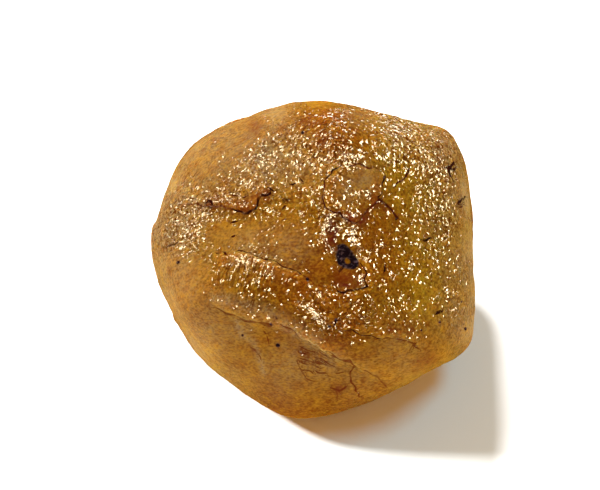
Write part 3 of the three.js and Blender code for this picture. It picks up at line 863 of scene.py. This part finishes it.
# %% [markdown]
# ## The colour, coat by coat
# Cloudy crystal has no even colour. Wide clouds and smaller mottles shift it, and fine flecks grain
# it. Painted light and shade come on top: the hollows of the fine grain, which the bump raises too,
# are painted darker and its tops paler, facets chosen at random are painted dark as the shade of
# facets turned away from the light, and a few listed places get painted shade. Each coat is laid
# over the ones before it, as thickly as its mask or noise says, which is easier to judge and to
# change than one big formula.

# %% Clouds, mottles, flecks and tints
# the spacing of each pattern, in mm
CLOUD = 1.1
MOTTLE = 0.33
FINE = 0.1
FLECK = 0.075
# fine grain and flecks are a little drawn out along the layers
LAYERS = (1, 0.2)
LAYERED = 0.3


def ramp(tree, value, start, end):
    """0 at start, 1 at end, straight between them and level beyond."""
    slope = 1 / (end - start)
    return math_node(tree, "MULTIPLY_ADD", value, slope, -start * slope, clamp=True)


def blend(tree, amount, below, above):
    """One colour laid over another."""
    return add(tree, "ShaderNodeMix", {0: amount, 6: below, 7: above}, data_type="RGBA").outputs[2]


drawn = drawn_out(finish, place, on_front(*LAYERS), LAYERED)
fine = noise(finish, drawn, FINE, 1.0)
flecks = noise(finish, drawn, FLECK, 1.0)
cloud = noise(finish, place, CLOUD)
mottle = noise(finish, place, MOTTLE)
dull = times(finish, ramp(finish, mottle, 0.5, 0.9), 0.8)
freckled = times(finish, ramp(finish, flecks, 0.52, 0.2), 0.75)
# painted shade in the hollows of the fine grain, whose height the bump also uses, strongest where
# etched
hollow_shade_strength = between(finish, mask["etch"], 0.3, 1.1)
painted_hollow_shade = times(finish, ramp(finish, fine, 0.5, 0.2), hollow_shade_strength)
# painted shade on facets chosen at random, as for facets turned away from the light
shaded_facets = times(finish, ramp(finish, number, 0.6, 0.9), mask["etch"])
rusty = times(finish, mask["rust"], ramp(finish, fine, 0.25, 0.55))
# how thickly each coat lies, and its tint, from the lowest coat to the highest
COATS = [
    # the tan coat carries painted sheen on the rims, and the amber coat painted shade on the bottom
    # edge
    (mask["olive"], OLIVE_TINT), (mask["amber"], AMBER_TINT), (mask["tan"], TAN_TINT),
    # painted shade at the listed places
    (mask["painted_shade"], PAINTED_SHADE_TINT),
    (ramp(finish, cloud, 0.55, 1.1), AMBER_TINT), (ramp(finish, cloud, 0.45, -0.1), PALE),
    (dull, AMBER_TINT), (ramp(finish, mottle, 0.5, 0.0), PALE),
    (freckled, FLECK_TINT), (ramp(finish, flecks, 0.5, 1.0), PALE),
    # painted shade in the hollows of the fine grain, and a painted highlight on its tops
    (painted_hollow_shade, PAINTED_SHADE_TINT), (ramp(finish, fine, 0.55, 1.2), PALE),
    # painted shade on random facets, then the real rust
    (shaded_facets, PAINTED_SHADE_TINT), (rusty, RUST_TINT),
]
colour = BODY
for amount, tint in COATS:
    colour = blend(finish, amount, colour, tint)
print(len(COATS), "coats over the body colour")

# %% [markdown]
# ## Cracks, specks and the mark
# The lines are inked where a point's signed distance is less than the line's own width. Strong ones
# are nearly black, weak ones brown, and a noise breaks them up, so that none is even. Specks and
# the mark are sooty, and a little grey grain on them is painted highlight.

# %% Ink and soot
# a line is drawn only this near to it, in mm
NEAR = 0.12
GAPS = 0.3

edge = math_node(finish, "ABSOLUTE", mask["crack_side"])
edge = math_node(finish, "DIVIDE", edge, mask["crack_width"])
near = math_node(finish, "LESS_THAN", mask["crack_far"], NEAR)
ink = times(finish, ramp(finish, edge, 1.0, 0.6), near)
ink = times(finish, ink, ramp(finish, mask["crack_ink"], 0.0, 0.8))
ink = times(finish, ink, ramp(finish, noise(finish, place, GAPS), 0.2, 0.5))
inked = blend(finish, ramp(finish, mask["crack_ink"], 0.65, 0.95), STAIN, INK)
colour = blend(finish, ink, colour, inked)
spots = ramp(finish, mask["speck"], 1.3, 0.8)
black = math_node(finish, "MAXIMUM", spots, ramp(finish, mask["mark"], 0.06, 0.0))
# sooty black, with a grey grain that is painted highlight
soot_and_highlight = blend(finish, ramp(finish, fine, 0.5, 0.8), SOOT, ASH_HIGHLIGHT)
colour = blend(finish, black, colour, soot_and_highlight)
dark = math_node(finish, "MAXIMUM", ink, black)
finish.links.new(colour, shader.inputs["Base Color"])
print("the colour takes", len(finish.nodes), "nodes")

# %% [markdown]
# ## Shine, bump and depth
# Only some facets are polished enough to flash. Which ones is decided by each facet's own number:
# a third of them where the skin is etched, and all of them in the glittering spots. The others are
# matt and hardly shine. Where the skin glitters most the facets are tilted least, so that whole
# groups flash together. The colour of a flash is a little warm, as it is on brown diamond.

# %% Shine, bump and depth
GLOSSY_SHARE = 0.3
SHINE_TINT = (1.0, 0.82, 0.5, 1)
# how strongly a facet shines, matt and polished. It changes over the skin, so it has to be linked,
# and an exported model falls back on the shader's own level
SHINE_LEVEL = (0.005, 0.5)
# how steeply the facets are tilted, on plain etched skin and where it glitters most
STEEPNESS = (0.8, 0.18)
# the roughness of a matt facet, and how far below it the keenest and the least keen polish lie
MATT = 1.0
POLISH = (-0.9, -0.8)
# the height of the fine grain, in mm
RUMPLE = 0.02
DIAMOND_IOR = 2.4
# how deep light wanders in, and the shares of that for red, green and blue
DEPTH = 2.0 * MM
DEPTH_SHARES = (1.0, 0.5, 0.2)

share = between(finish, mask["glitter"], GLOSSY_SHARE, 1.0)
share = times(finish, share, ramp(finish, mask["etch"], 0.15, 0.9))
chosen = math_node(finish, "LESS_THAN", number, share)
gloss = times(finish, chosen, math_node(finish, "SUBTRACT", 1.0, dark))
keen = between(finish, ramp(finish, number, 0.0, 0.4), *POLISH)
rough = math_node(finish, "MULTIPLY_ADD", gloss, keen, MATT)
steep = between(finish, mask["glitter"], *STEEPNESS)
steep = times(finish, steep, ramp(finish, mask["etch"], 0.1, 0.4))
tilted = times(finish, height, steep)
raised = math_node(finish, "ADD", tilted, times(finish, fine, RUMPLE))
bump = add(finish, "ShaderNodeBump", {"Strength": 1.0, "Distance": MM, "Height": raised})
finish.links.new(rough, shader.inputs["Roughness"])
finish.links.new(between(finish, gloss, *SHINE_LEVEL), shader.inputs["Specular IOR Level"])
finish.links.new(bump.outputs[0], shader.inputs["Normal"])
shader.inputs["IOR"].default_value = DIAMOND_IOR
shader.inputs["Specular Tint"].default_value = SHINE_TINT
shader.inputs["Subsurface Weight"].default_value = 1.0
shader.inputs["Subsurface Radius"].default_value = DEPTH_SHARES
shader.inputs["Subsurface Scale"].default_value = DEPTH
print("the whole finish takes", len(finish.nodes), "nodes")

# %% [markdown]
# ## The etched skin, with Geometry Nodes
# Acid in the rock has eaten the whole skin into small hillocks, a third of a millimetre apart.
# They follow the surface and repeat everywhere, which is what Geometry Nodes are good at. The
# tree moves every point along its normal by a noise, and reads the stored attribute to leave
# the smooth patches smooth.

# %% The tree of hillocks
HILLOCK_SPACING = 0.36
HILLOCK_HEIGHT = 0.12
HILLOCK_SEED = 3.0


def etched_skin_tree(material):
    """A Geometry Nodes tree that raises hillocks on a skin, as strongly as "relief" says."""
    tree = bpy.data.node_groups.new("etched skin", "GeometryNodeTree")
    sockets = tree.interface
    sockets.new_socket("Geometry", in_out="INPUT", socket_type="NodeSocketGeometry")
    for name in ("Hillock spacing", "Hillock height", "Seed"):
        sockets.new_socket(name, in_out="INPUT", socket_type="NodeSocketFloat")
    sockets.new_socket("Geometry", in_out="OUTPUT", socket_type="NodeSocketGeometry")
    given = add(tree, "NodeGroupInput").outputs
    relief = add(tree, "GeometryNodeInputNamedAttribute", {"Name": "relief"}, data_type="FLOAT")
    lumps = add(
        tree, "ShaderNodeTexNoise",
        {"Vector": add(tree, "GeometryNodeInputPosition").outputs[0], "W": given["Seed"],
         "Scale": math_node(tree, "DIVIDE", 1.0, given["Hillock spacing"]),
         "Detail": 1.0, "Roughness": 0.5},
        noise_dimensions="4D",
    )
    centred = math_node(tree, "SUBTRACT", lumps.outputs[0], 0.5)
    height = times(tree, centred, given["Hillock height"])
    strength = times(tree, height, relief.outputs[0])
    outward = add(tree, "GeometryNodeInputNormal").outputs[0]
    offset = vector_node(tree, "SCALE", outward, Scale=strength)[0]
    moved = add(
        tree, "GeometryNodeSetPosition", {"Geometry": given["Geometry"], "Offset": offset}
    )
    real = add(tree, "GeometryNodeRealizeInstances", {"Geometry": moved.outputs[0]})
    painted = add(
        tree, "GeometryNodeSetMaterial", {"Geometry": real.outputs[0], "Material": material}
    )
    result = add(tree, "NodeGroupOutput")
    tree.links.new(painted.outputs[0], result.inputs[0])
    return tree


def run_tree(obj, tree, sizes):
    """Runs a Geometry Nodes tree on an object and keeps what it makes as plain mesh."""
    modifier = obj.modifiers.new(tree.name, "NODES")
    modifier.node_group = tree
    for item in tree.interface.items_tree:
        if item.name in sizes and item.in_out == "INPUT":
            modifier[item.identifier] = sizes[item.name]
    apply_modifiers(obj)


run_tree(
    crystal,
    etched_skin_tree(cloudy_diamond),
    {"Hillock spacing": HILLOCK_SPACING * MM, "Hillock height": HILLOCK_HEIGHT * MM,
     "Seed": HILLOCK_SEED},
)
crystal.data.shade_smooth()
print("finished skin:", len(crystal.data.polygons), "faces,", crystal.data.materials[:])

# %% [markdown]
# ## The paper
# The stone lies on plain white paper, lit so strongly that it shows no grain. The paper isn't part
# of the object, so it is staged. It would throw far too much light up into the stone, so it is
# greyer for the light that bounces off it, and no facet mirrors it.

# %% A sheet of white paper
PAPER_HALF = 0.2
# just below the stone, so that the two don't share a surface
PAPER_DROP = 0.01 * MM
PAPER_WHITE = (0.86, 0.86, 0.86, 1)
PAPER_BOUNCED = (0.62, 0.62, 0.62, 1)
PAPER_ROUGHNESS = 0.9
PAPER_SHINE = 0.1


def make_floor():
    """A wide sheet of white paper."""
    mesh = bpy.data.meshes.new("paper")
    corners = [(-1, -1), (1, -1), (1, 1), (-1, 1)]
    points = [(x * PAPER_HALF, y * PAPER_HALF, -PAPER_DROP) for x, y in corners]
    mesh.from_pydata(points, [], [(0, 1, 2, 3)])
    obj = bpy.data.objects.new("paper", mesh)
    bpy.context.scene.collection.objects.link(obj)
    material = bpy.data.materials.new("white_paper")
    material.use_nodes = True
    tree = material.node_tree
    paper = tree.nodes["Principled BSDF"]
    bounced = add(tree, "ShaderNodeLightPath").outputs["Is Diffuse Ray"]
    shade = blend(tree, bounced, PAPER_WHITE, PAPER_BOUNCED)
    tree.links.new(shade, paper.inputs["Base Color"])
    paper.inputs["Roughness"].default_value = PAPER_ROUGHNESS
    paper.inputs["Specular IOR Level"].default_value = PAPER_SHINE
    mesh.materials.append(material)
    return obj


floor = make_floor()
floor.visible_glossy = False
print("the paper is", 2 * PAPER_HALF / MM, "mm wide")

# %% [markdown]
# ## Lamps and room
# Two soft lamps, one from the left and one from behind, light the stone and throw its double
# shadow. Stronger ones in the same places, and one on the right, whiten the paper alone. A warm
# glow that nothing blocks stands for the light that comes through the stone into its own shadow.
# Two weak fills reach only the stone. The dashes of light come from panels that show in the facets
# and light nothing else, so the facets flash clearly while the body of the stone stays softly lit.
# Light linking says which lamp reaches what. The room is dim and warm, and white where it is seen
# directly.

# %% Lamps and panels
# metres from the heart to every lamp
LAMP_DISTANCE = 0.3
# for each lamp: name, bearing, rise, radius as an angle, power, and its colour where it isn't white
LAMPS = [("left", 176, 41, 4, 1.55, (0.88, 1, 1)), ("behind", 109, 56, 4, 1.88)]
PAPER_LAMPS = [
    ("paper_left", 176, 41, 4, 4.3), ("paper_behind", 109, 56, 4, 2.7),
    ("paper_right", 337, 69, 7, 1.2, (0.22, 0.75, 1)),
]
GLOW = ("glow", 270, 80, 25, 0.48, (1.0, 0.43, 0.15))
FILLS = [("fill", 350, 15, 25, 0.6, (0.75, 1.0, 0.8)), ("right", 337, 69, 7, 1.15, (0.9, 1, 1))]
PANELS = [
    ("panel_left", 150, 31, 13, 2), ("panel_hollow", 180, 45, 11, 1.3),
    ("panel_back", 120, 52, 11, 1.3), ("panel_right", 356, 17, 10, 1.1),
    ("panel_rear_right", 16, 23, 15, 2.7), ("panel_side", 345, 32, 8, 0.7),
    ("panel_front", 294, 40, 14, 2.4), ("panel_band", 225, 30, 11, 1.4),
    ("panel_low", 252, 4, 11, 1.6), ("panel_rear", 84, 3, 16, 2.8), ("panel_crest", 30, 52, 13, 2),
    ("panel_under", 251, -38, 10, 1.4), ("panel_pit", 303, 54, 8, 2.4),
]


def lamp(name, bearing, rise, radius, power, colour=(1, 1, 1)):
    """A round lamp that faces the stone. Its radius is its angle seen from there, and its power
    is the light that it casts on a surface that faces it, in watts for each square metre."""
    data = bpy.data.lights.new(name, "AREA")
    data.shape = "DISK"
    data.color = colour
    data.size = 2 * LAMP_DISTANCE * math.tan(math.radians(radius))
    data.energy = power * math.pi * LAMP_DISTANCE**2
    obj = bpy.data.objects.new(name, data)
    obj.location = HEART + toward(bearing, rise) * LAMP_DISTANCE
    obj.rotation_euler = (-toward(bearing, rise)).to_track_quat("-Z", "Y").to_euler()
    obj.visible_camera = False
    bpy.context.scene.collection.objects.link(obj)
    return obj


soft = [lamp(*settings) for settings in LAMPS]
whiteners = [lamp(*settings) for settings in PAPER_LAMPS]
glow = lamp(*GLOW)
fills = [lamp(*settings) for settings in FILLS]
panels = [lamp(*settings) for settings in PANELS]
print(len(soft + whiteners + fills) + 1, "lamps and", len(panels), "panels")

# %% What each lamp reaches


def light_only(obj, lamps):
    """Makes lamps light one object and nothing else."""
    group = bpy.data.collections.new(f"{obj.name}_only")
    group.objects.link(obj)
    for each in lamps:
        each.light_linking.receiver_collection = group


def shadow_only_itself(lamps):
    """Lets nothing but the object that lamps light stand in their way."""
    for each in lamps:
        each.light_linking.blocker_collection = each.light_linking.receiver_collection


light_only(floor, whiteners)
light_only(floor, [glow])
light_only(crystal, fills + panels)
shadow_only_itself([glow] + panels)
for each in soft + fills:
    each.visible_glossy = False
for panel in panels:
    panel.visible_diffuse = False
print("for the stone alone:", ", ".join(each.name for each in fills + panels))

# %% The room
ROOM_STRENGTH = 0.52
ROOM_LIGHT = (0.98, 0.56, 0.19, 1)
ROOM_MIRRORED = (0.12, 0.07, 0.015, 1)
ROOM_SEEN = (2, 2, 2, 1)


def light_room():
    """Dim warm walls, darker where a facet mirrors them and white where they are seen."""
    world = bpy.data.worlds.new("room")
    bpy.context.scene.world = world
    world.use_nodes = True
    walls = world.node_tree
    ray = add(walls, "ShaderNodeLightPath").outputs
    colour = blend(walls, ray["Is Glossy Ray"], ROOM_LIGHT, ROOM_MIRRORED)
    colour = blend(walls, ray["Is Camera Ray"], colour, ROOM_SEEN)
    room = walls.nodes["Background"]
    room.inputs["Strength"].default_value = ROOM_STRENGTH
    walls.links.new(colour, room.inputs["Color"])


light_room()
bpy.context.scene.view_settings.view_transform = "Standard"
print("the room's light is", ROOM_STRENGTH, "times", ROOM_LIGHT[:3])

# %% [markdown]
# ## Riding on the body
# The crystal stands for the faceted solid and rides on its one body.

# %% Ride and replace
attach(crystal, "root")
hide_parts("diamond")
